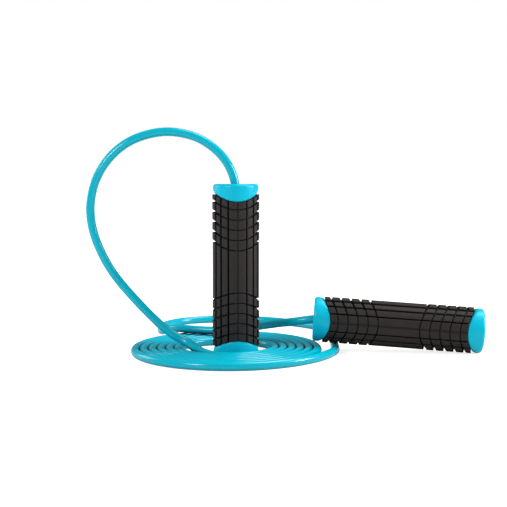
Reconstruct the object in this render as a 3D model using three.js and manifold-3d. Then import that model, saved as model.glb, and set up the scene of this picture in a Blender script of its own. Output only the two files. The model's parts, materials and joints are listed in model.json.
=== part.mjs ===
// Jump rope: two tyre-tread handles joined by one PVC cord.
// Handle A stands upright in the hole of the coiled cord, and handle B lies on the floor beside it with
// its cord end resting on the cord. Each handle is free to spin on the ball bearing behind its cord cap.
// Units are millimetres, +Z is up, and the origin is the middle of handle A's base, on the floor.

import * as THREE from 'three';
import { mergeVertices } from 'three/addons/utils/BufferGeometryUtils.js';
import Module from 'manifold-3d';

const wasm = await Module();
wasm.setup();

// ---- driving dimensions --------------------------------------------------------------------------

const HANDLE_LENGTH = 140;
const GRIP_RADIUS = 19;
const CAP_RADIUS = 18.5;
const CORD_RADIUS = 3.5;
const GAP = 0.3; // clearance between pieces that touch

// The caps meet the grip on a scalloped line: far from the end at the front and back of the handle,
// near the end at its two sides.
const TONGUE_LENGTH = 14.3;
const SCALLOP_DEPTH = 5.8;
const CAP_WALL = 4;
const CAP_EDGE_ROUND = 2.4;
const CORD_HOLE_RADIUS = 4.8;
const CORD_HOLE_FLARE = 1.5;
const CAP_RELIEF = 0.6; // behind the wall, so that it never rubs on the bearing's inner race

const CORE_RADIUS = 13.2;
const CORE_BORE_RADIUS = 9.6;

const TREAD_COUNT = 16;
const GROOVE_WIDTH = 1.5;
const GROOVE_DEPTH = 2.6;
const FACE_GROOVE_DEPTH = 0.8;

const BEARING_RADIUS = 11;
const BEARING_BORE_RADIUS = 4;
const BEARING_WIDTH = 7;
const BALL_COUNT = 7;
const BALL_RADIUS = 1.95;
const BALL_PITCH_RADIUS = 7.5;
const RACE_HALF_OPENING = 1.45; // from the ball circle to each race's land
const RACE_GROOVE_RADIUS = BALL_RADIUS + GAP;

const CAGE_RING_WIDTH = 1.6;
const CAGE_RING_HEIGHT = 0.8;
const CAGE_CLEARANCE = 0.4; // between the cage's ring and the balls
const CAGE_POST_WIDTH = 1.5;
const CAGE_POST_DEPTH = 1.2;
const CAGE_POST_REACH = 1; // past the balls' middles

const WASHER_RADIUS = 6.4;
const WASHER_THICKNESS = 1;
const FERRULE_RADIUS = 5.4;
const FERRULE_LENGTH = 12;
const CRIMP_PLACES = [0.3, 0.7]; // shares of the ferrule's length
const CRIMP_DEPTH = 0.5;
const CRIMP_WIDTH = 2;
const CRIMP_SLOPE = 0.6;
const CORD_INSET = 1; // of the cord's end in the ferrule, and of its straight stretch in the cord hole

// Handle A's roll about its own axis, and how handle B lies.
const HANDLE_A_ROLL = THREE.MathUtils.degToRad(5.6);
const HANDLE_B_YAW = THREE.MathUtils.degToRad(4.5);
const HANDLE_B_LEAN = THREE.MathUtils.degToRad(3.62);
const HANDLE_B_EXIT_X = 64.5;
const HANDLE_B_EXIT_Y = 20;
const FLOOR_CLEARANCE = 0.1;

// The coil is a flat spiral of touching turns; its solid is the ring that holds them.
const COIL_CENTRE = new THREE.Vector2(-6.2, 9.7);
const COIL_INNER_RADIUS = 33.7;
const COIL_OUTER_RADIUS = 81.5;
const COIL_EDGE = 2;

// The cord's route where it isn't coiled: from handle A's cap through the air to the coil's hole, and
// from the coil's outer turn under handle B, round behind the coil and over it to handle B's cap.
const LOOP_ROUTE = [
  [-0.7, 0, 140.4], [-3.9, 0, 150.8], [-9.8, 0, 160.8], [-18.2, 0, 169.2], [-29.5, -1, 176.4],
  [-42, -1, 180.4], [-55, -2, 181.8], [-70, -2, 179.8], [-85.6, -3, 173.8], [-100, -3, 162.6],
  [-110.6, -3, 147.7], [-116, -3, 132], [-117.4, -3, 117], [-115.3, -3, 102], [-109.6, -3, 86],
  [-100, -2, 68.2], [-86.5, -1, 51], [-72.5, -1, 35.8], [-58.5, -2, 22.8], [-48.5, -4, 16],
  [-39.5, -7, 11.6],
];
const TAIL_ROUTE = [
  [79.6, -4, 3.6], [83, 20, 3.5], [84, 43, 3.6], [87, 68, 3.6], [88, 93, 3.6],
  [82.5, 118, 3.6], [69, 142, 3.6], [48, 163, 3.6], [24, 178, 3.6], [-2, 184, 3.6],
  [-28, 183, 3.6], [-50, 174, 3.6], [-65, 157, 3.6], [-71.5, 135, 3.6], [-71.5, 112, 3.9],
  [-67, 94, 6], [-57.5, 79.5, 10], [-42, 69, 11], [-21, 61.5, 11], [1, 54, 13.4],
  [21, 43.5, 17.8], [37, 33, 21.6], [50.5, 24.3, 24.4], [64.1, 20.2, 26.7],
];
const CORD_STEP = 14;

// Sides of the round pieces, and steps of the arcs in their profiles.
const CAP_SIDES = 36;
const CORE_SIDES = 32;
const BEARING_SIDES = 28;
const WASHER_SIDES = 24;
const FERRULE_SIDES = 20;
const COIL_SIDES = 56;
const CORD_SIDES = 10;
const ARC_STEPS = 4;
const SCALLOP_STEPS = 14;

// ---- sizes worked out from them ------------------------------------------------------------------

const POCKET_RADIUS = CORE_RADIUS + GAP;
const SLEEVE_BORE_RADIUS = CORD_RADIUS + GAP;
const CORE_START = CAP_WALL + GAP;
const CORE_END = HANDLE_LENGTH - CAP_WALL - GAP;
const BEARING_TOP = CORE_END;
const BEARING_BOTTOM = BEARING_TOP - BEARING_WIDTH;
const BEARING_MIDDLE = BEARING_TOP - BEARING_WIDTH / 2;
const BEARING_SEAT = BEARING_BOTTOM - GAP;
const RACE_GROOVE_ANGLE = Math.acos(RACE_HALF_OPENING / RACE_GROOVE_RADIUS); // where it meets the land
const WASHER_TOP = BEARING_SEAT;
const WASHER_BOTTOM = WASHER_TOP - WASHER_THICKNESS;
const FERRULE_TOP = WASHER_BOTTOM - GAP;
const FERRULE_BOTTOM = FERRULE_TOP - FERRULE_LENGTH;
const CORD_END_BOTTOM = FERRULE_BOTTOM + CORD_INSET;
const CORD_END_TOP = HANDLE_LENGTH - CORD_INSET;
const SIDE_TONGUE = TONGUE_LENGTH - SCALLOP_DEPTH;

// ---- materials -----------------------------------------------------------------------------------

const CYAN_PLASTIC = new THREE.MeshStandardMaterial({ color: 0x05bede, roughness: 0.3, metalness: 0 });
const CYAN_CORD = new THREE.MeshStandardMaterial({ color: 0x08b4d0, roughness: 0.25, metalness: 0 });
const BLACK_RUBBER = new THREE.MeshStandardMaterial({ color: 0x322f2f, roughness: 0.7, metalness: 0 });
const BLACK_PLASTIC = new THREE.MeshStandardMaterial({ color: 0x1c1c1e, roughness: 0.5, metalness: 0 });
const NYLON = new THREE.MeshStandardMaterial({ color: 0xd8d2c2, roughness: 0.5, metalness: 0 });
const STEEL = new THREE.MeshStandardMaterial({ color: 0xb9bcc0, roughness: 0.25, metalness: 1 });

// ---- small tools ---------------------------------------------------------------------------------

// A closed geometry as a manifold solid: only positions, shared corners merged, no empty triangles.
function solidOf(geometry) {
  geometry.deleteAttribute('normal');
  geometry.deleteAttribute('uv');
  const merged = mergeVertices(geometry, 1e-4);
  const index = merged.index.array;
  const triangles = [];
  for (let i = 0; i < index.length; i += 3) {
    const [a, b, c] = index.slice(i, i + 3);
    if (a !== b && b !== c && c !== a) {
      triangles.push(a, b, c);
    }
  }
  return new wasm.Manifold(new wasm.Mesh({
    numProp: 3,
    vertProperties: new Float32Array(merged.attributes.position.array),
    triVerts: new Uint32Array(triangles),
  }));
}

function geometryOf(solid) {
  const mesh = solid.getMesh();
  const geometry = new THREE.BufferGeometry();
  geometry.setAttribute('position', new THREE.BufferAttribute(new Float32Array(mesh.vertProperties), 3));
  geometry.setIndex(new THREE.BufferAttribute(new Uint32Array(mesh.triVerts), 1));
  geometry.computeVertexNormals();
  return geometry;
}

function piece(name, geometry, material) {
  const mesh = new THREE.Mesh(geometry, material.clone());
  mesh.name = name;
  return mesh;
}

// A profile of [radius, height] points turned about the Z axis.
function turned(profile, sides) {
  const points = profile.map(([radius, height]) => new THREE.Vector2(radius, height));
  return new THREE.LatheGeometry(points, sides).rotateX(Math.PI / 2);
}

// The same for a ring: the profile closes on itself.
function turnedRing(profile, sides) {
  return turned([...profile, profile[0]], sides);
}

// Points on an arc of a [radius, height] profile, both ends included.
function arc(centreRadius, centreHeight, radius, startAngle, endAngle) {
  const points = [];
  for (let i = 0; i <= ARC_STEPS; i += 1) {
    const angle = startAngle + (endAngle - startAngle) * i / ARC_STEPS;
    points.push([centreRadius + radius * Math.cos(angle), centreHeight + radius * Math.sin(angle)]);
  }
  return points;
}

function polarPoint(radius, angle) {
  return new THREE.Vector2(radius * Math.cos(angle), radius * Math.sin(angle));
}

// Corners of a regular polygon, counter-clockwise.
function circlePoints(radius, sides) {
  return Array.from({ length: sides }, (_, i) => polarPoint(radius, 2 * Math.PI * i / sides));
}

// How far the scalloped line lies from the handle's end, at a distance x from the handle's middle plane.
function scallop(x) {
  return TONGUE_LENGTH - SCALLOP_DEPTH * (x / GRIP_RADIUS) ** 2;
}

// The part of the handle between its two scalloped lines, cut back from them by an offset.
function betweenScallops(offset) {
  const reach = 1.2 * GRIP_RADIUS;
  const lower = [];
  for (let i = 0; i <= SCALLOP_STEPS; i += 1) {
    const x = -reach + 2 * reach * i / SCALLOP_STEPS;
    lower.push(new THREE.Vector2(x, scallop(x) + offset));
  }
  const upper = lower.map((p) => new THREE.Vector2(p.x, HANDLE_LENGTH - p.y)).reverse();
  const outline = new THREE.Shape([...lower, ...upper]);
  const depth = 2 * reach;
  const geometry = new THREE.ExtrudeGeometry(outline, { depth, steps: 1, bevelEnabled: false });
  return solidOf(geometry.rotateX(Math.PI / 2).translate(0, reach, 0));
}

// ---- the handle's pieces -------------------------------------------------------------------------

// Rubber sleeve with its lengthwise tread grooves; the two at the middle of the faces are shallow.
function gripGeometry() {
  const outline = [];
  for (let i = 0; i < TREAD_COUNT; i += 1) {
    const middle = -Math.PI / 2 + 2 * Math.PI * i / TREAD_COUNT;
    const onFace = i % (TREAD_COUNT / 2) === 0;
    const floor = GRIP_RADIUS - (onFace ? FACE_GROOVE_DEPTH : GROOVE_DEPTH);
    const topAngle = Math.asin(GROOVE_WIDTH / 2 / GRIP_RADIUS);
    const floorAngle = Math.asin(GROOVE_WIDTH / 2 / floor);
    outline.push(polarPoint(GRIP_RADIUS, middle - topAngle));
    outline.push(polarPoint(floor, middle - floorAngle));
    outline.push(polarPoint(floor, middle + floorAngle));
    outline.push(polarPoint(GRIP_RADIUS, middle + topAngle));
    outline.push(polarPoint(GRIP_RADIUS, middle + Math.PI / TREAD_COUNT));
  }
  const section = new THREE.Shape(outline);
  section.holes.push(new THREE.Path(circlePoints(POCKET_RADIUS, CORE_SIDES)));
  const sleeve = new THREE.ExtrudeGeometry(section, { depth: HANDLE_LENGTH, steps: 1, bevelEnabled: false });
  return geometryOf(solidOf(sleeve).intersect(betweenScallops(GAP)));
}

// Rounded outer edge of a cap and its skirt around the core tube's end, up to the inside of its wall.
function capRimProfile() {
  const skirtEnd = TONGUE_LENGTH + 1;
  return [
    ...arc(CAP_RADIUS - CAP_EDGE_ROUND, CAP_EDGE_ROUND, CAP_EDGE_ROUND, -Math.PI / 2, 0),
    [CAP_RADIUS, skirtEnd],
    [POCKET_RADIUS, skirtEnd],
    [POCKET_RADIUS, CAP_WALL],
  ];
}

function withTongues(cup) {
  return geometryOf(solidOf(cup).subtract(betweenScallops(0)));
}

function baseCapGeometry() {
  return withTongues(turned([[0, 0], ...capRimProfile(), [0, CAP_WALL]], CAP_SIDES));
}

// The cord cap's hole is flared where the cord leaves it.
function cordCapGeometry() {
  const flareRadius = CORD_HOLE_RADIUS + CORD_HOLE_FLARE;
  const reliefRadius = BALL_PITCH_RADIUS;
  const reliefFloor = CAP_WALL - CAP_RELIEF;
  const cup = turnedRing([
    [CORD_HOLE_RADIUS, CORD_HOLE_FLARE],
    [flareRadius, 0],
    ...capRimProfile(),
    [reliefRadius, CAP_WALL],
    [reliefRadius, reliefFloor],
    [CORD_HOLE_RADIUS, reliefFloor],
  ], CAP_SIDES);
  return withTongues(cup).rotateX(Math.PI).translate(0, 0, HANDLE_LENGTH);
}

// Hard plastic tube that carries the grip and both caps, bored out at the cord end to seat the bearing.
function coreTubeGeometry() {
  const seatRadius = BEARING_RADIUS + GAP;
  return turnedRing([
    [CORE_RADIUS, CORE_START],
    [CORE_RADIUS, CORE_END],
    [seatRadius, CORE_END],
    [seatRadius, BEARING_SEAT],
    [CORE_BORE_RADIUS, BEARING_SEAT],
    [CORE_BORE_RADIUS, CORE_START],
  ], CORE_SIDES);
}

// The balls' groove, as an arc of a race's profile.
function raceGroove(startAngle, endAngle) {
  return arc(BALL_PITCH_RADIUS, BEARING_MIDDLE, RACE_GROOVE_RADIUS, startAngle, endAngle);
}

function outerRaceGeometry() {
  const land = BALL_PITCH_RADIUS + RACE_HALF_OPENING;
  return turnedRing([
    [BEARING_RADIUS, BEARING_BOTTOM],
    [BEARING_RADIUS, BEARING_TOP],
    [land, BEARING_TOP],
    ...raceGroove(RACE_GROOVE_ANGLE, -RACE_GROOVE_ANGLE),
    [land, BEARING_BOTTOM],
  ], BEARING_SIDES);
}

function innerRaceGeometry() {
  const land = BALL_PITCH_RADIUS - RACE_HALF_OPENING;
  return turnedRing([
    [land, BEARING_BOTTOM],
    ...raceGroove(Math.PI + RACE_GROOVE_ANGLE, Math.PI - RACE_GROOVE_ANGLE),
    [land, BEARING_TOP],
    [BEARING_BORE_RADIUS, BEARING_TOP],
    [BEARING_BORE_RADIUS, BEARING_BOTTOM],
  ], BEARING_SIDES);
}

function ballAngle(i) {
  return 2 * Math.PI * i / BALL_COUNT;
}

// Crown cage: a ring below the balls with one post between each pair of them.
function cageGeometry() {
  const innerRadius = BALL_PITCH_RADIUS - CAGE_RING_WIDTH / 2;
  const outerRadius = BALL_PITCH_RADIUS + CAGE_RING_WIDTH / 2;
  const ringTop = BEARING_MIDDLE - BALL_RADIUS - CAGE_CLEARANCE;
  const ringBottom = ringTop - CAGE_RING_HEIGHT;
  let cage = solidOf(turnedRing([
    [outerRadius, ringBottom],
    [outerRadius, ringTop],
    [innerRadius, ringTop],
    [innerRadius, ringBottom],
  ], BEARING_SIDES));
  const postTop = BEARING_MIDDLE + CAGE_POST_REACH;
  const postBottom = ringTop - CAGE_RING_HEIGHT / 2;
  for (let i = 0; i < BALL_COUNT; i += 1) {
    const post = new THREE.BoxGeometry(CAGE_POST_DEPTH, CAGE_POST_WIDTH, postTop - postBottom);
    post.translate(BALL_PITCH_RADIUS, 0, (postTop + postBottom) / 2);
    post.rotateZ(ballAngle(i + 0.5));
    cage = cage.add(solidOf(post));
  }
  return geometryOf(cage);
}

function ballGeometry(i) {
  const place = polarPoint(BALL_PITCH_RADIUS, ballAngle(i));
  return new THREE.IcosahedronGeometry(BALL_RADIUS, 1).translate(place.x, place.y, BEARING_MIDDLE);
}

function thrustWasherGeometry() {
  return turnedRing([
    [WASHER_RADIUS, WASHER_BOTTOM],
    [WASHER_RADIUS, WASHER_TOP],
    [SLEEVE_BORE_RADIUS, WASHER_TOP],
    [SLEEVE_BORE_RADIUS, WASHER_BOTTOM],
  ], WASHER_SIDES);
}

// Steel sleeve squeezed onto the cord's end in two bands, so that the cord can't pull out.
function ferruleGeometry() {
  const waist = FERRULE_RADIUS - CRIMP_DEPTH;
  const halfWaist = CRIMP_WIDTH / 2;
  const halfCrimp = halfWaist + CRIMP_SLOPE;
  const outside = [];
  for (const place of CRIMP_PLACES) {
    const middle = FERRULE_BOTTOM + FERRULE_LENGTH * place;
    outside.push([FERRULE_RADIUS, middle - halfCrimp]);
    outside.push([waist, middle - halfWaist]);
    outside.push([waist, middle + halfWaist]);
    outside.push([FERRULE_RADIUS, middle + halfCrimp]);
  }
  return turnedRing([
    [FERRULE_RADIUS, FERRULE_BOTTOM],
    ...outside,
    [FERRULE_RADIUS, FERRULE_TOP],
    [SLEEVE_BORE_RADIUS, FERRULE_TOP],
    [SLEEVE_BORE_RADIUS, FERRULE_BOTTOM],
  ], FERRULE_SIDES);
}

// The straight end of the cord inside the handle, from the ferrule to the cap's face.
function cordEndGeometry() {
  const length = CORD_END_TOP - CORD_END_BOTTOM;
  const cylinder = new THREE.CylinderGeometry(CORD_RADIUS, CORD_RADIUS, length, CORD_SIDES);
  return cylinder.rotateX(Math.PI / 2).translate(0, 0, CORD_END_BOTTOM + length / 2);
}

function handle(name) {
  const group = new THREE.Group();
  group.add(piece(`${name}_grip`, gripGeometry(), BLACK_RUBBER));
  group.add(piece(`${name}_core_tube`, coreTubeGeometry(), BLACK_PLASTIC));
  group.add(piece(`${name}_cord_cap`, cordCapGeometry(), CYAN_PLASTIC));
  group.add(piece(`${name}_base_cap`, baseCapGeometry(), CYAN_PLASTIC));
  group.add(piece(`${name}_outer_race`, outerRaceGeometry(), STEEL));
  group.add(piece(`${name}_inner_race`, innerRaceGeometry(), STEEL));
  group.add(piece(`${name}_ball_cage`, cageGeometry(), NYLON));
  for (let i = 0; i < BALL_COUNT; i += 1) {
    group.add(piece(`${name}_ball_${i + 1}`, ballGeometry(i), STEEL));
  }
  group.add(piece(`${name}_thrust_washer`, thrustWasherGeometry(), STEEL));
  group.add(piece(`${name}_ferrule`, ferruleGeometry(), STEEL));
  group.add(piece(`${name}_cord_end`, cordEndGeometry(), CYAN_CORD));
  return group;
}

// ---- the cord ------------------------------------------------------------------------------------

function tubeGeometry(route) {
  const path = new THREE.CatmullRomCurve3(route.map((point) => new THREE.Vector3(...point)));
  const section = new THREE.Shape(circlePoints(CORD_RADIUS, CORD_SIDES));
  const steps = Math.round(path.getLength() / CORD_STEP);
  return new THREE.ExtrudeGeometry(section, { extrudePath: path, steps });
}

function coilGeometry() {
  const top = 2 * CORD_RADIUS;
  const ring = turnedRing([
    [COIL_OUTER_RADIUS - COIL_EDGE, 0],
    [COIL_OUTER_RADIUS, COIL_EDGE],
    [COIL_OUTER_RADIUS, top - COIL_EDGE],
    [COIL_OUTER_RADIUS - COIL_EDGE, top],
    [COIL_INNER_RADIUS + COIL_EDGE, top],
    [COIL_INNER_RADIUS, top - COIL_EDGE],
    [COIL_INNER_RADIUS, COIL_EDGE],
    [COIL_INNER_RADIUS + COIL_EDGE, 0],
  ], COIL_SIDES);
  return ring.translate(COIL_CENTRE.x, COIL_CENTRE.y, 0);
}

// ---- the whole rope ------------------------------------------------------------------------------

const handleA = handle('handle_a');
handleA.rotation.z = HANDLE_A_ROLL;

// Handle B's axis runs from its base to its cord end. The grip's base edge touches the floor.
const handleB = handle('handle_b');
handleB.rotation.set(0, HANDLE_B_LEAN - Math.PI / 2, -HANDLE_B_YAW, 'ZYX');
const handleBAxis = new THREE.Vector3(0, 0, 1).applyEuler(handleB.rotation);
const baseHeight = GRIP_RADIUS * Math.cos(HANDLE_B_LEAN) - SIDE_TONGUE * Math.sin(HANDLE_B_LEAN)
  + FLOOR_CLEARANCE;
const exitHeight = baseHeight + HANDLE_LENGTH * Math.sin(HANDLE_B_LEAN);
handleB.position.set(HANDLE_B_EXIT_X, HANDLE_B_EXIT_Y, exitHeight);
handleB.position.addScaledVector(handleBAxis, -HANDLE_LENGTH);

const jumpRope = new THREE.Group();
jumpRope.add(handleA);
jumpRope.add(handleB);
jumpRope.add(piece('cord_loop', tubeGeometry(LOOP_ROUTE), CYAN_CORD));
jumpRope.add(piece('cord_coil', coilGeometry(), CYAN_CORD));
jumpRope.add(piece('cord_tail', tubeGeometry(TAIL_ROUTE), CYAN_CORD));

export default jumpRope;
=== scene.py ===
# Jump rope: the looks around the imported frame.
# Units are metres, +Z is up, and the origin is the middle of handle A's base, on the floor.

import json
import math

import bmesh
import bpy
import numpy as np
from mathutils import Matrix, Vector


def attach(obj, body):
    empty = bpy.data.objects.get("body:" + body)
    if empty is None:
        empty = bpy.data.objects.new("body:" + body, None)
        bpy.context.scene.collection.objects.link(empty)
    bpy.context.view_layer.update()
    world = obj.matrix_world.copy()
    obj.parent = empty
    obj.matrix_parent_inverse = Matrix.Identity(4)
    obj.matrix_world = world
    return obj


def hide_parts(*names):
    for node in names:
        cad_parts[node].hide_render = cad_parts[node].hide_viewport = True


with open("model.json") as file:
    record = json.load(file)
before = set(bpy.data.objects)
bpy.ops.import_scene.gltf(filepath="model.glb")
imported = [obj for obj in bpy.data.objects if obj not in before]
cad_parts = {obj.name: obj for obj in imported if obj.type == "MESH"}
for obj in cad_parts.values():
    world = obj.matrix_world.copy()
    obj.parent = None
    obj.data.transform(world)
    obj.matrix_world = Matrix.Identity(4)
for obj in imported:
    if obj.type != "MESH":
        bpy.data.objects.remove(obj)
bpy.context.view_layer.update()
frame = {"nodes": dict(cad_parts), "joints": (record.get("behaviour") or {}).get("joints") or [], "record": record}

# ---- driving dimensions --------------------------------------------------------------------------

HANDLE_LENGTH = 0.140
GRIP_RADIUS = 0.019
CAP_RADIUS = 0.0185
CORD_RADIUS = 0.0035
GAP = 0.0003  # clearance between pieces that touch

# Where the caps meet the grip: far from the end at the faces, near the end at the sides.
TONGUE_LENGTH = 0.0143
SCALLOP_DEPTH = 0.0062

# Caps.
CAP_WALL = 0.004
POCKET_RADIUS = 0.0135  # clear of the core tube by GAP
RIM_ROUND = 0.0026
EDGE_ROUND_FACE = 0.0011  # of the tongue's edge, at the middle of a face
EDGE_ROUND_SIDE = 0.0029  # and at a side, where it is deeper still along the handle
EDGE_REACH_SIDE = 0.0045
HOLE_RADIUS = 0.0048
HOLE_ROUND = 0.0014
RELIEF_RADIUS = 0.0075
RELIEF_DEPTH = 0.0006
END_RING_SHARES = (0.3, 0.97)  # of the flat end's radius, where its rings of points lie
CAP_COLUMNS = 128  # points round a cap
ROUND_STEPS = 8  # of each quarter turn in a cap's section

# Tread: lengthwise grooves all round, and cross grooves near both ends. All but the grooves at the
# middle of the faces and sides look equally wide from a face, as straight mould slides leave them.
LAND_RADIUS_END = 0.0191
LAND_RADIUS_MIDDLE = 0.0189
GROOVE_ANGLES = (23.3, 43.8, 63.6)  # degrees from the middle of a face
GROOVE_WIDTH = 0.00125
GROOVE_DEPTH = 0.0028
GROOVE_DRAFT = 0.0005  # by which a groove's floor is narrower than its mouth
FACE_GROOVE_WIDTH = 0.0019
FACE_GROOVE_DEPTH = 0.0006
SIDE_GROOVE_WIDTH = 0.0015
CROSS_COUNT = 5
CROSS_FIRST = 0.0206  # from the handle's end, at the middle of a face
CROSS_PITCH = 0.00814
CROSS_SCALLOP_DEPTH = 0.0072
CROSS_WIDTH = 0.0024  # at a side
CROSS_FLOOR = 0.0013
CROSS_DEPTH = 0.003
CROSS_FACE_SHARE = 0.42  # of these three, at the middle of a face
TREAD_BEVEL = 0.00025
LAND_STEPS = 5  # round the grip, from one lengthwise groove to the next
SHARP_ANGLE = math.radians(32)  # an edge between faces at more than this isn't shaded smooth

# How the handles stand: their turn about their own axis, and handle B's lie.
BEARING_PLACE = 0.1322  # of the swivel joints' point, along the handle
HANDLE_A_ROLL = math.radians(5.6)
HANDLE_B_YAW = math.radians(4.5)
HANDLE_B_LEAN = math.radians(3.62)

# The cord, from handle A's ferrule to handle B's: straight out of handle A, through the air in the
# loop, down to the coil and round it, and from its outer turn along the tail into handle B.
CORD_LENGTH = 3.2
START_ROUTE = [(0, 0, 0.1175), (0, 0, 0.129)]
LOOP_ROUTE = [
    (-0.0007, 0, 0.1404), (-0.0039, 0, 0.1508), (-0.0098, 0, 0.1608), (-0.0182, 0, 0.1692),
    (-0.0295, -0.001, 0.1764), (-0.042, -0.001, 0.1804), (-0.055, -0.002, 0.1818),
    (-0.070, -0.002, 0.1798), (-0.0856, -0.003, 0.1738), (-0.100, -0.003, 0.1626),
    (-0.1106, -0.003, 0.1477), (-0.116, -0.003, 0.132), (-0.1174, -0.003, 0.117),
    (-0.1153, -0.003, 0.102), (-0.1096, -0.003, 0.086), (-0.100, -0.002, 0.0682),
    (-0.0865, -0.001, 0.051), (-0.0725, -0.001, 0.0358), (-0.0585, -0.002, 0.0228),
    (-0.0485, -0.004, 0.016), (-0.0395, -0.007, 0.0116),
]
DROP_ROUTE = [(-0.0325, -0.0134, 0.0078), (-0.024, -0.0203, 0.0051), (-0.0155, -0.0249, 0.0039)]
COIL_CENTRE = (-0.0062, 0.0097)
COIL_FIRST_RADIUS = 0.0364
COIL_LAST_RADIUS = 0.0788
COIL_HEIGHT = 0.0036  # of the cord's middle
COIL_TURNS = 6
COIL_TURN_POINTS = 16
LEAVING_ROUTE = [
    (0.0183, -0.0658, 0.0036), (0.0406, -0.055, 0.0036), (0.0586, -0.0395, 0.0036),
    (0.0717, -0.0215, 0.0036),
]
TAIL_ROUTE = [
    (0.0796, -0.004, 0.0036), (0.083, 0.020, 0.0035), (0.084, 0.043, 0.0036),
    (0.087, 0.068, 0.0036), (0.088, 0.093, 0.0036), (0.0825, 0.118, 0.0036),
    (0.069, 0.142, 0.0036), (0.048, 0.163, 0.0036), (0.024, 0.178, 0.0036),
    (-0.002, 0.184, 0.0036), (-0.028, 0.183, 0.0036), (-0.050, 0.174, 0.0036),
    (-0.065, 0.157, 0.0036), (-0.0715, 0.135, 0.0036), (-0.0715, 0.112, 0.0039),
    (-0.067, 0.094, 0.006), (-0.0575, 0.0795, 0.010), (-0.042, 0.069, 0.011),
    (-0.021, 0.0615, 0.011), (0.001, 0.054, 0.0134), (0.021, 0.0435, 0.0178),
    (0.037, 0.033, 0.0216), (0.0505, 0.0243, 0.0244), (0.0641, 0.0202, 0.0267),
]
END_ROUTE = [(0.0745, 0.0192, 0.02675), (0.0868, 0.01825, 0.02595)]
CORD_STEP = 0.0025
CORD_SIDES = 24

# Camera, floor and light.
CAMERA_PLACE = (0.01436, -0.8192, 0.1457)
CAMERA_TILT = math.radians(4.345)
CAMERA_LENS = 71.72  # millimetres, on a sensor of SENSOR_WIDTH
SENSOR_WIDTH = 36
FLOOR_SIZE = 60
FLOOR_GREY = 0.65
FLOOR_GLOW = 0.8
ROOM_LIGHT = 0.34
ROOM_GLOSS = 0.12
SUN_STRENGTH = 1.7
SUN_ANGLE = math.radians(30)
SUN_DIRECTION = (-0.35, -0.2, -0.91)
SOFT_BOX_AIM = (0.02, 0.03, 0.05)
SOFT_BOXES = [  # name, place, side and watts
    ("key_box", (-0.64, -0.71, 0.6), 0.3, 6),
    ("right_box", (1.1, -0.05, 0.5), 0.4, 12),
    ("left_box", (-1.05, 0.5, 0.45), 0.6, 4),
]

# Colours, as linear red, green and blue. A pair is the two ends of a mottled colour.
WHITE = (1, 1, 1)
CAP_CYANS = (0, 0.445, 0.615), (0, 0.495, 0.68)
CORD_CYANS = (0, 0.37, 0.49), (0, 0.44, 0.57)
# painted shade of the cord, where turns of the coil shade each other
CORD_PAINTED_SHADE = (0, 0.04, 0.08)
RUBBER_BLACKS = (0.0155, 0.0119, 0.0108), (0.0232, 0.0187, 0.0174)
# worn dust and a painted sheen on the tread's bevelled edges
RUBBER_DUST_AND_SHEEN = (0.062, 0.055, 0.052)
# painted shade down in the tread's grooves
RUBBER_GROOVE_PAINTED_SHADE = (0.002, 0.002, 0.002)
CORE_BLACKS = (0.01, 0.01, 0.011), (0.018, 0.018, 0.02)
NYLON_CREAMS = (0.62, 0.57, 0.46), (0.74, 0.7, 0.6)
BEARING_GREYS = (0.5, 0.51, 0.53), (0.68, 0.69, 0.7)
CRIMP_GREYS = (0.38, 0.39, 0.4), (0.6, 0.6, 0.58)


# ---- camera, floor and light ---------------------------------------------------------------------

def make_camera():
    """A camera in front of the object, tipped down a little and not rolled."""
    data = bpy.data.cameras.new("camera")
    data.lens = CAMERA_LENS
    data.sensor_width = SENSOR_WIDTH
    camera = bpy.data.objects.new("camera", data)
    camera.location = CAMERA_PLACE
    camera.rotation_euler = (math.pi / 2 - CAMERA_TILT, 0, 0)
    bpy.context.scene.collection.objects.link(camera)
    bpy.context.scene.camera = camera


def add_light(name, kind, strength, direction):
    """A light that shines in a direction."""
    data = bpy.data.lights.new(name, kind)
    data.energy = strength
    light = bpy.data.objects.new(name, data)
    light.rotation_euler = Vector(direction).to_track_quat("-Z", "Y").to_euler()
    bpy.context.scene.collection.objects.link(light)
    return light


def make_sun():
    """A broad, soft sun for the object's shades."""
    sun = add_light("sky", "SUN", SUN_STRENGTH, SUN_DIRECTION)
    sun.data.angle = SUN_ANGLE


def make_soft_boxes():
    """Square lights for the highlights on the cord and caps."""
    for name, place, side, power in SOFT_BOXES:
        box = add_light(name, "AREA", power, Vector(SOFT_BOX_AIM) - Vector(place))
        box.location = place
        box.data.size = side


def world_strength(world):
    """The white room's light: less than white on the object, and little in its gloss."""
    nodes, links = world.node_tree.nodes, world.node_tree.links
    path = nodes.new("ShaderNodeLightPath")
    seen = nodes.new("ShaderNodeMapRange")
    seen.inputs["To Min"].default_value = ROOM_LIGHT
    seen.inputs["To Max"].default_value = 1
    gloss = nodes.new("ShaderNodeMath")
    gloss.operation = "MULTIPLY_ADD"
    gloss.inputs[1].default_value = ROOM_GLOSS - ROOM_LIGHT
    links.new(path.outputs["Is Camera Ray"], seen.inputs["Value"])
    links.new(path.outputs["Is Glossy Ray"], gloss.inputs[0])
    links.new(seen.outputs["Result"], gloss.inputs[2])
    return gloss.outputs["Value"]


def make_room():
    """A white room, which the camera sees as pure white."""
    world = bpy.data.worlds.new("white_room")
    world.use_nodes = True
    background = world.node_tree.nodes["Background"]
    background.inputs["Color"].default_value = (*WHITE, 1)
    world.node_tree.links.new(world_strength(world), background.inputs["Strength"])
    bpy.context.scene.world = world


def make_floor():
    """A square floor, so wide that its edge is lost in the white room."""
    half = FLOOR_SIZE / 2
    corners = [(-half, -half, 0), (half, -half, 0), (half, half, 0), (-half, half, 0)]
    mesh = bpy.data.meshes.new("floor")
    mesh.from_pydata(corners, [], [(0, 1, 2, 3)])
    mesh.materials.append(floor_material())
    add_object("floor", mesh)


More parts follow.
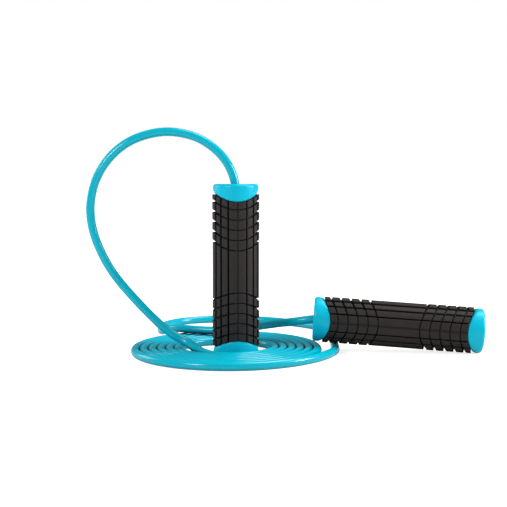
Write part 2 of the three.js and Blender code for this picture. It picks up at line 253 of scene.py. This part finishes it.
def floor_material():
    """A white sweep: it looks whiter than it lights the object, so that its shadows stay faint."""
    material = new_material("floor_white")
    shader = shader_of(material)
    shader.inputs["Base Color"].default_value = (FLOOR_GREY, FLOOR_GREY, FLOOR_GREY, 1)
    shader.inputs["Roughness"].default_value = 1
    shader.inputs["Specular IOR Level"].default_value = 0
    shader.inputs["Emission Color"].default_value = (*WHITE, 1)
    path = material.node_tree.nodes.new("ShaderNodeLightPath")
    glow = ranged(material, path.outputs["Is Camera Ray"], 0, FLOOR_GLOW)
    material.node_tree.links.new(glow, shader.inputs["Emission Strength"])
    return material


# ---- materials -----------------------------------------------------------------------------------

def new_material(name):
    """A material with a plain shader, whose nodes come next."""
    material = bpy.data.materials.new(name)
    material.use_nodes = True
    return material


def shader_of(material):
    """The node that the others feed."""
    return material.node_tree.nodes["Principled BSDF"]


def noise(material, scale, detail, coordinates="Object", stretch=(1, 1, 1)):
    """A noise texture's value from 0 to 1, with its coordinates stretched."""
    nodes, links = material.node_tree.nodes, material.node_tree.links
    place = nodes.new("ShaderNodeTexCoord")
    mapping = nodes.new("ShaderNodeMapping")
    mapping.inputs["Scale"].default_value = stretch
    texture = nodes.new("ShaderNodeTexNoise")
    texture.inputs["Scale"].default_value = scale
    texture.inputs["Detail"].default_value = detail
    links.new(place.outputs[coordinates], mapping.inputs["Vector"])
    links.new(mapping.outputs["Vector"], texture.inputs["Vector"])
    return texture.outputs["Fac"]


def colour_mixer(material, share, colour):
    """A node that goes over into a colour with a value, from whatever its A socket gets."""
    mixer = material.node_tree.nodes.new("ShaderNodeMix")
    mixer.data_type = "RGBA"
    mixer.inputs["B"].default_value = (*colour, 1)
    material.node_tree.links.new(share, mixer.inputs["Factor"])
    return mixer


def mixed_colour(material, share, low, high):
    """A colour that goes from low to high with a value."""
    mixer = colour_mixer(material, share, high)
    mixer.inputs["A"].default_value = (*low, 1)
    return mixer.outputs["Result"]


def blended(material, share, base, colour):
    """The colour that another node gives, going over into a given one with a value."""
    mixer = colour_mixer(material, share, colour)
    material.node_tree.links.new(base, mixer.inputs["A"])
    return mixer.outputs["Result"]


def ranged(material, value, low, high, full=1):
    """A value from 0 to full as one from low to high."""
    scale = material.node_tree.nodes.new("ShaderNodeMapRange")
    scale.inputs["From Max"].default_value = full
    scale.inputs["To Min"].default_value = low
    scale.inputs["To Max"].default_value = high
    material.node_tree.links.new(value, scale.inputs["Value"])
    return scale.outputs["Result"]


def attribute(material, name):
    """A number kept on each of the mesh's points."""
    node = material.node_tree.nodes.new("ShaderNodeAttribute")
    node.attribute_name = name
    return node.outputs["Fac"]


def crevices(material, reach):
    """A value that goes from 1 in the open to 0 where the piece itself is close all round."""
    node = material.node_tree.nodes.new("ShaderNodeAmbientOcclusion")
    node.only_local = True
    node.inputs["Distance"].default_value = reach
    return node.outputs["AO"]


def bumped(material, height, distance):
    """The shader's normal, raised by a height of up to a distance."""
    bump = material.node_tree.nodes.new("ShaderNodeBump")
    bump.inputs["Distance"].default_value = distance
    bump.inputs["Strength"].default_value = 1
    material.node_tree.links.new(height, bump.inputs["Height"])
    return bump.outputs["Normal"]


def finish_material(material, colour, roughness, normal):
    """The material with its shader's colour, roughness and normal fed by other nodes."""
    links = material.node_tree.links
    shader = shader_of(material)
    links.new(colour, shader.inputs["Base Color"])
    links.new(roughness, shader.inputs["Roughness"])
    links.new(normal, shader.inputs["Normal"])
    return material


def cap_material():
    """Moulded cyan plastic: even colour, a faint orange peel and a satin gloss."""
    material = new_material("cap_cyan_plastic")
    cloud = noise(material, scale=60, detail=3)
    peel = noise(material, scale=900, detail=2)
    shader_of(material).inputs["Specular IOR Level"].default_value = 0.2
    return finish_material(
        material,
        colour=mixed_colour(material, cloud, *CAP_CYANS),
        roughness=ranged(material, cloud, low=0.26, high=0.36),
        normal=bumped(material, peel, distance=0.00001),
    )


def cord_material():
    """Extruded cyan PVC: glossy, with faint lengthwise draw lines and cloudy depth, and with painted
    shade, darker, where turns of the coil shade each other."""
    material = new_material("cord_cyan_pvc")
    cloud = noise(material, scale=45, detail=4)
    lines = noise(material, scale=1, detail=2, coordinates="UV", stretch=(2, 24, 1))
    clean = mixed_colour(material, cloud, *CORD_CYANS)
    # The painted shade: full where less than a quarter of the space around is open, and none on the free cord.
    shaded = ranged(material, crevices(material, 2 * CORD_RADIUS), low=1.4, high=0, full=0.85)
    shader_of(material).inputs["Specular IOR Level"].default_value = 0.32
    return finish_material(
        material,
        colour=blended(material, shaded, clean, CORD_PAINTED_SHADE),
        roughness=ranged(material, lines, low=0.15, high=0.22),
        normal=bumped(material, lines, distance=0.000002),
    )


def rubber_material():
    """Moulded black rubber: warm black with a fine grain, lighter on the tread's bevelled edges with
    worn dust and a painted sheen, and with painted shade, blacker, down in its grooves."""
    material = new_material("grip_black_rubber")
    cloud = noise(material, scale=120, detail=5)
    grain = noise(material, scale=2600, detail=3)
    # lighter bevelled edges: worn dust and a painted sheen
    edge_dust_and_sheen = ranged(material, attribute(material, "wear_and_sheen"), low=0, high=0.5)
    # painted shade: blacker the deeper a point lies in a groove
    painted_groove_shade = ranged(material, attribute(material, "depth"), low=0, high=0.9, full=0.35)
    clean = mixed_colour(material, cloud, *RUBBER_BLACKS)
    dust_and_sheen_colour = blended(material, edge_dust_and_sheen, clean, RUBBER_DUST_AND_SHEEN)
    shader_of(material).inputs["Specular IOR Level"].default_value = 0.28
    return finish_material(
        material,
        colour=blended(material, painted_groove_shade, dust_and_sheen_colour, RUBBER_GROOVE_PAINTED_SHADE),
        roughness=ranged(material, grain, low=0.5, high=0.72),
        normal=bumped(material, grain, distance=0.00012),
    )


def core_material():
    """Hard black plastic of the tube inside the grip."""
    material = new_material("core_black_plastic")
    cloud = noise(material, scale=200, detail=3)
    return finish_material(
        material,
        colour=mixed_colour(material, cloud, *CORE_BLACKS),
        roughness=ranged(material, cloud, low=0.38, high=0.52),
        normal=bumped(material, cloud, distance=0.00005),
    )


def cage_material():
    """Natural nylon of the bearing's cage, mottled."""
    material = new_material("cage_nylon")
    cloud = noise(material, scale=500, detail=3)
    return finish_material(
        material,
        colour=mixed_colour(material, cloud, *NYLON_CREAMS),
        roughness=ranged(material, cloud, low=0.4, high=0.55),
        normal=bumped(material, cloud, distance=0.00002),
    )


def steel_material(name, greys, smooth, rough, stretch):
    """Metal with fine marks, finer still along an axis by as much as it is stretched."""
    material = new_material(name)
    marks = noise(material, scale=1500, detail=4, stretch=stretch)
    shader_of(material).inputs["Metallic"].default_value = 1
    return finish_material(
        material,
        colour=mixed_colour(material, marks, *greys),
        roughness=ranged(material, marks, smooth, rough),
        normal=bumped(material, marks, distance=0.00001),
    )


def bearing_material():
    """Ground steel of the races and balls."""
    return steel_material("bearing_ground_steel", BEARING_GREYS, smooth=0.12, rough=0.24,
                          stretch=(1, 1, 6))


def crimp_material():
    """Zinc-plated steel of the ferrules and washers."""
    return steel_material("crimp_zinc_steel", CRIMP_GREYS, smooth=0.28, rough=0.45, stretch=(1, 1, 1))


# ---- mesh tools ----------------------------------------------------------------------------------

def mix(low, high, share):
    """The value at a share of the way from low to high."""
    return low + (high - low) * share


def add_object(name, mesh):
    """A new object of the scene with a mesh."""
    piece = bpy.data.objects.new(name, mesh)
    bpy.context.scene.collection.objects.link(piece)
    return piece


def ring_mesh(name, rings, closed):
    """A mesh over rings of equally many points. A closed one joins its last ring to its first, and
    an open one has a flat face over each end ring."""
    rows, columns = len(rings), len(rings[0])
    faces = []
    for row in range(rows if closed else rows - 1):
        here = row * columns
        there = (row + 1) % rows * columns
        for column in range(columns):
            right = (column + 1) % columns
            faces.append((here + column, here + right, there + right, there + column))
    if not closed:
        faces.append(tuple(range(columns)))
        faces.append(tuple(range((rows - 1) * columns, rows * columns)))
    mesh = bpy.data.meshes.new(name)
    mesh.from_pydata([tuple(point) for ring in rings for point in ring], [], faces)
    work = bmesh.new()
    work.from_mesh(mesh)
    bmesh.ops.recalc_face_normals(work, faces=work.faces)
    work.to_mesh(mesh)
    work.free()
    mesh.shade_smooth()
    mesh.set_sharp_from_angle(angle=SHARP_ANGLE)
    return mesh


# ---- the cord ------------------------------------------------------------------------------------

def coil_points():
    """The coil's turns, counter-clockwise from its front, from the inside out."""
    points = []
    last = COIL_TURNS * COIL_TURN_POINTS
    for i in range(1, last + 1):
        angle = 2 * math.pi * i / COIL_TURN_POINTS - math.pi / 2
        radius = mix(COIL_FIRST_RADIUS, COIL_LAST_RADIUS, i / last)
        x = COIL_CENTRE[0] + radius * math.cos(angle)
        y = COIL_CENTRE[1] + radius * math.sin(angle)
        points.append((x, y, COIL_HEIGHT))
    return points


def spline(points, step):
    """Points every step along the natural cubic spline through the given ones."""
    points = np.array(points, float)
    gaps = np.linalg.norm(np.diff(points, axis=0), axis=1)
    knots = np.concatenate([[0], np.cumsum(gaps)])
    count = len(points)
    system = np.eye(count)
    kinks = np.zeros_like(points)
    slopes = np.diff(points, axis=0) / gaps[:, None]
    for i in range(1, count - 1):
        system[i, i - 1:i + 2] = gaps[i - 1], 2 * (gaps[i - 1] + gaps[i]), gaps[i]
        kinks[i] = 6 * (slopes[i] - slopes[i - 1])
    bends = np.linalg.solve(system, kinks)
    at = np.linspace(0, knots[-1], round(knots[-1] / step) + 1)
    i = np.clip(np.searchsorted(knots, at, side="right") - 1, 0, count - 2)
    left = (knots[i + 1] - at)[:, None]
    right = (at - knots[i])[:, None]
    gap = gaps[i][:, None]
    line = (bends[i] * left ** 3 + bends[i + 1] * right ** 3) / (6 * gap)
    line += (points[i] / gap - bends[i] * gap / 6) * left
    line += (points[i + 1] / gap - bends[i + 1] * gap / 6) * right
    return line


def tube_rings(line, radius, sides):
    """Rings of points round a line, turned as little as possible from one to the next."""
    ahead = np.gradient(line, axis=0)
    ahead /= np.linalg.norm(ahead, axis=1)[:, None]
    normal = np.array([0.0, 1.0, 0.0])
    rings = []
    for point, tangent in zip(line, ahead):
        normal = normal - tangent * normal.dot(tangent)
        normal /= np.linalg.norm(normal)
        side = np.cross(tangent, normal)
        ring = []
        for k in range(sides):
            angle = 2 * math.pi * k / sides
            ring.append(point + radius * (normal * math.cos(angle) + side * math.sin(angle)))
        rings.append(ring)
    return rings


def add_tube_uv(mesh, rows, columns, length):
    """UV on a tube: U runs along it in metres, and V once round it."""
    layer = mesh.uv_layers.new(name="along")
    for face in mesh.polygons:
        cells = [divmod(vertex, columns) for vertex in face.vertices]
        wraps = len(cells) == 4 and {0, columns - 1} <= {column for _, column in cells}
        for loop, (row, column) in zip(face.loop_indices, cells):
            turn = columns if wraps and column == 0 else column
            layer.data[loop].uv = (length * row / (rows - 1), turn / columns)


def make_cord():
    """The whole cord, from ferrule to ferrule."""
    route = [*START_ROUTE, *LOOP_ROUTE, *DROP_ROUTE, *coil_points(), *LEAVING_ROUTE, *TAIL_ROUTE,
             *END_ROUTE]
    line = spline(route, CORD_STEP)
    rings = tube_rings(line, CORD_RADIUS, CORD_SIDES)
    mesh = ring_mesh("cord", rings, closed=False)
    add_tube_uv(mesh, len(rings), CORD_SIDES, CORD_LENGTH)
    mesh.materials.append(cord_material())
    cord = add_object("cord", mesh)
    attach(cord, "rope")
    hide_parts("cord_loop", "cord_coil", "cord_tail", "handle_a_cord_end", "handle_b_cord_end")


# ---- the handles ---------------------------------------------------------------------------------

def scalloped(place, angle, depth=SCALLOP_DEPTH):
    """How far from the handle's end a line lies at an angle from the middle of a face, when it lies
    at place there."""
    return place - depth * math.sin(angle) ** 2


def quarter(steps):
    """Angles of a quarter turn, both ends included."""
    return [math.pi / 2 * i / steps for i in range(steps + 1)]


def cap_section(angle):
    """(radius, depth) points of a cap's section at an angle from the middle of its face, from the
    flat of its end over the rim and the tongue's edge to the pocket's bottom."""
    edge = scalloped(TONGUE_LENGTH, angle)
    side = math.sin(angle) ** 2
    edge_round = mix(EDGE_ROUND_FACE, EDGE_ROUND_SIDE, side)
    edge_reach = mix(EDGE_ROUND_FACE, EDGE_REACH_SIDE, side)
    points = []
    for a in quarter(ROUND_STEPS):
        points.append((CAP_RADIUS - RIM_ROUND * (1 - math.sin(a)), RIM_ROUND * (1 - math.cos(a))))
    for a in quarter(ROUND_STEPS):
        radius = CAP_RADIUS - edge_round * (1 - math.cos(a))
        points.append((radius, edge - edge_reach * (1 - math.sin(a))))
    points.append((POCKET_RADIUS, edge))
    points.append((POCKET_RADIUS, CAP_WALL))
    return points


def end_rings():
    """Radii of the rings of points on a cap's flat end, from its middle outward."""
    return [share * (CAP_RADIUS - RIM_ROUND) for share in END_RING_SHARES]


def base_cap_section(angle):
    """The closed cap's section, from near the middle outside to near the middle inside."""
    inner, outer = end_rings()
    return [(inner, 0), (outer, 0), *cap_section(angle), (inner, CAP_WALL)]


def cord_cap_section(angle):
    """The section of a cap with the cord's hole, rounded where the cord leaves it."""
    floor = CAP_WALL - RELIEF_DEPTH
    hole = [(HOLE_RADIUS, floor)]
    for a in quarter(ROUND_STEPS):
        hole.append((HOLE_RADIUS + HOLE_ROUND * (1 - math.cos(a)), HOLE_ROUND * (1 - math.sin(a))))
    inside = [(RELIEF_RADIUS, CAP_WALL), (RELIEF_RADIUS, floor)]
    _, outer = end_rings()
    return [*hole, (outer, 0), *cap_section(angle), *inside]


def lathed(section, columns):
    """Rings from a section that changes with the angle from the middle of a face."""
    turns = []
    for k in range(columns):
        angle = 2 * math.pi * k / columns
        turns.append([(r * math.sin(angle), -r * math.cos(angle), z) for r, z in section(angle)])
    return [list(ring) for ring in zip(*turns)]


def groove_corners(width, floor, depth):
    """(distance from the groove's middle, depth) of a groove's corners, from its floor outward."""
    bevel = min(TREAD_BEVEL, depth / 2)
    return [(floor / 2, depth), (width / 2, bevel), (width / 2 + bevel, 0)]


def across(corners):
    """A groove's corners on both sides of its middle, in order."""
    return [(-offset, depth) for offset, depth in reversed(corners)] + corners


def lengthwise_grooves():
    """(angle from the middle of a face, width, depth) of the lengthwise grooves round the grip."""
    grooves = [(0, FACE_GROOVE_WIDTH, FACE_GROOVE_DEPTH)]
    for degrees in (*GROOVE_ANGLES, 90, *(180 - angle for angle in reversed(GROOVE_ANGLES))):
        angle = math.radians(degrees)
        width = SIDE_GROOVE_WIDTH if degrees == 90 else GROOVE_WIDTH / abs(math.cos(angle))
        grooves.append((angle, width, GROOVE_DEPTH))
    return grooves + [(angle + math.pi, width, depth) for angle, width, depth in grooves]


def tread_columns():
    """(angle from the middle of a face, depth of the cut there) round the grip."""
    columns = []
    for angle, width, depth in lengthwise_grooves():
        corners = across(groove_corners(width, width - GROOVE_DRAFT, depth))
        groove = [(angle + offset / GRIP_RADIUS, cut) for offset, cut in corners]
        if columns:
            columns += land_columns(columns[-1][0], groove[0][0])
        columns += groove
    return columns + land_columns(columns[-1][0], columns[0][0] + 2 * math.pi)


def land_columns(first, last):
    """Columns of a tread block between two angles, both left out."""
    return [(mix(first, last, step / LAND_STEPS), 0) for step in range(1, LAND_STEPS)]


def tread_rows():
    """Lines round the grip from the base end's edge to the handle's middle, each as (place of the
    edge or groove that it belongs to at the middle of a face, how far nearer the end that is at a
    side, distance from it, land radius, depth of the cut there)."""
    edge = TONGUE_LENGTH + GAP
    rows = [(edge, SCALLOP_DEPTH, 0, LAND_RADIUS_END, TREAD_BEVEL),
            (edge, SCALLOP_DEPTH, TREAD_BEVEL, LAND_RADIUS_END, 0)]
    for i in range(CROSS_COUNT):
        middle = CROSS_FIRST + i * CROSS_PITCH
        for offset, cut in across(groove_corners(CROSS_WIDTH, CROSS_FLOOR, CROSS_DEPTH)):
            past = i == CROSS_COUNT - 1 and offset > 0
            land = LAND_RADIUS_MIDDLE if past else LAND_RADIUS_END
            rows.append((middle, CROSS_SCALLOP_DEPTH, offset, land, cut))
    return rows


def grip_rings():
    """Rings of the grip from its bore at the base end over the tread and back through the bore, with
    where each point gets worn dust and painted sheen, and how deep in a groove it lies for painted shade."""
    half = [(TONGUE_LENGTH + GAP, SCALLOP_DEPTH, 0, POCKET_RADIUS, 0), *tread_rows()]
    rings, wear_and_sheen, depth = [], [], []
    for from_top in (False, True):
        for place, scallop, offset, land, row_cut in reversed(half) if from_top else half:
            ring = []
            for angle, column_cut in tread_columns():
                share = mix(CROSS_FACE_SHARE, 1, math.sin(angle) ** 2)
                cut = max(row_cut * share, column_cut) if land > POCKET_RADIUS else 0
                radius = land - cut
                z = scalloped(place, angle, scallop) + offset * share
                height = HANDLE_LENGTH - z if from_top else z
                ring.append((radius * math.sin(angle), -radius * math.cos(angle), height))
                # bevel points get the worn dust and painted sheen
                wear_and_sheen.append(1.0 if 0 < cut <= TREAD_BEVEL else 0.0)
                # how deep in a groove a point lies, for the painted shade there
                depth.append(min(cut / GROOVE_DEPTH, 1))
            rings.append(ring)
    return rings, wear_and_sheen, depth


def make_piece(mesh, material, place, body, node):
    """A piece of a handle, named after its mesh, in the place of a CAD node."""
    mesh.transform(place)
    mesh.materials.append(material)
    piece = add_object(mesh.name, mesh)
    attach(piece, body)
    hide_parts(node)


def grip_mesh(name):
    """A grip's mesh, with its worn dust and painted sheen, and its depth for the painted groove shade, kept on its
    points.
    """
    rings, wear_and_sheen, depth = grip_rings()
    mesh = ring_mesh(name, rings, closed=True)
    mesh.attributes.new("wear_and_sheen", "FLOAT", "POINT").data.foreach_set("value", wear_and_sheen)
    mesh.attributes.new("depth", "FLOAT", "POINT").data.foreach_set("value", depth)
    return mesh


def make_handle(name, place, plastic, rubber):
    """A handle's grip and caps, moved from the handle's own frame to their place."""
    grip = grip_mesh(f"{name}_tread_grip")
    base_cap = ring_mesh(f"{name}_smooth_base_cap", lathed(base_cap_section, CAP_COLUMNS), closed=False)
    cord_cap = ring_mesh(f"{name}_smooth_cord_cap", lathed(cord_cap_section, CAP_COLUMNS), closed=True)
    turn_over = Matrix.Translation((0, 0, HANDLE_LENGTH)) @ Matrix.Rotation(math.pi, 4, "Y")
    make_piece(grip, rubber, place, name, f"{name}_grip")
    make_piece(base_cap, plastic, place, name, f"{name}_base_cap")
    make_piece(cord_cap, plastic, place @ turn_over, name, f"{name}_cord_cap")


def handle_b_place():
    """Handle B's own frame: its base is BEARING_PLACE behind the swivel joint's point."""
    joint = next(j for j in frame["joints"] if j["name"] == "handle_b_swivel")
    base = Vector(joint["pos_m"]) - BEARING_PLACE * Vector(joint["axis"])
    turn = Matrix.Rotation(-HANDLE_B_YAW, 4, "Z")
    tip = Matrix.Rotation(HANDLE_B_LEAN - math.pi / 2, 4, "Y")
    return Matrix.Translation(base) @ turn @ tip


def finish_inner_pieces():
    """Give the CAD pieces inside the handles their materials, by the record's slots."""
    materials = {
        "core_plastic": core_material(),
        "cage_nylon": cage_material(),
        "bearing_steel": bearing_material(),
        "crimp_steel": crimp_material(),
    }
    for entry in frame["record"]["subparts"]:
        material = materials.get(entry["material_slot"])
        if material is not None:
            node = frame["nodes"][entry["node"]]
            node.data.materials.clear()
            node.data.materials.append(material)


# ---- the whole scene -----------------------------------------------------------------------------

make_camera()
make_cord()
cap_plastic = cap_material()
grip_rubber = rubber_material()
make_handle("handle_a", Matrix.Rotation(HANDLE_A_ROLL, 4, "Z"), cap_plastic, grip_rubber)
make_handle("handle_b", handle_b_place(), cap_plastic, grip_rubber)
finish_inner_pieces()
make_floor()
make_room()
make_sun()
make_soft_boxes()
bpy.context.scene.view_settings.view_transform = "Standard"
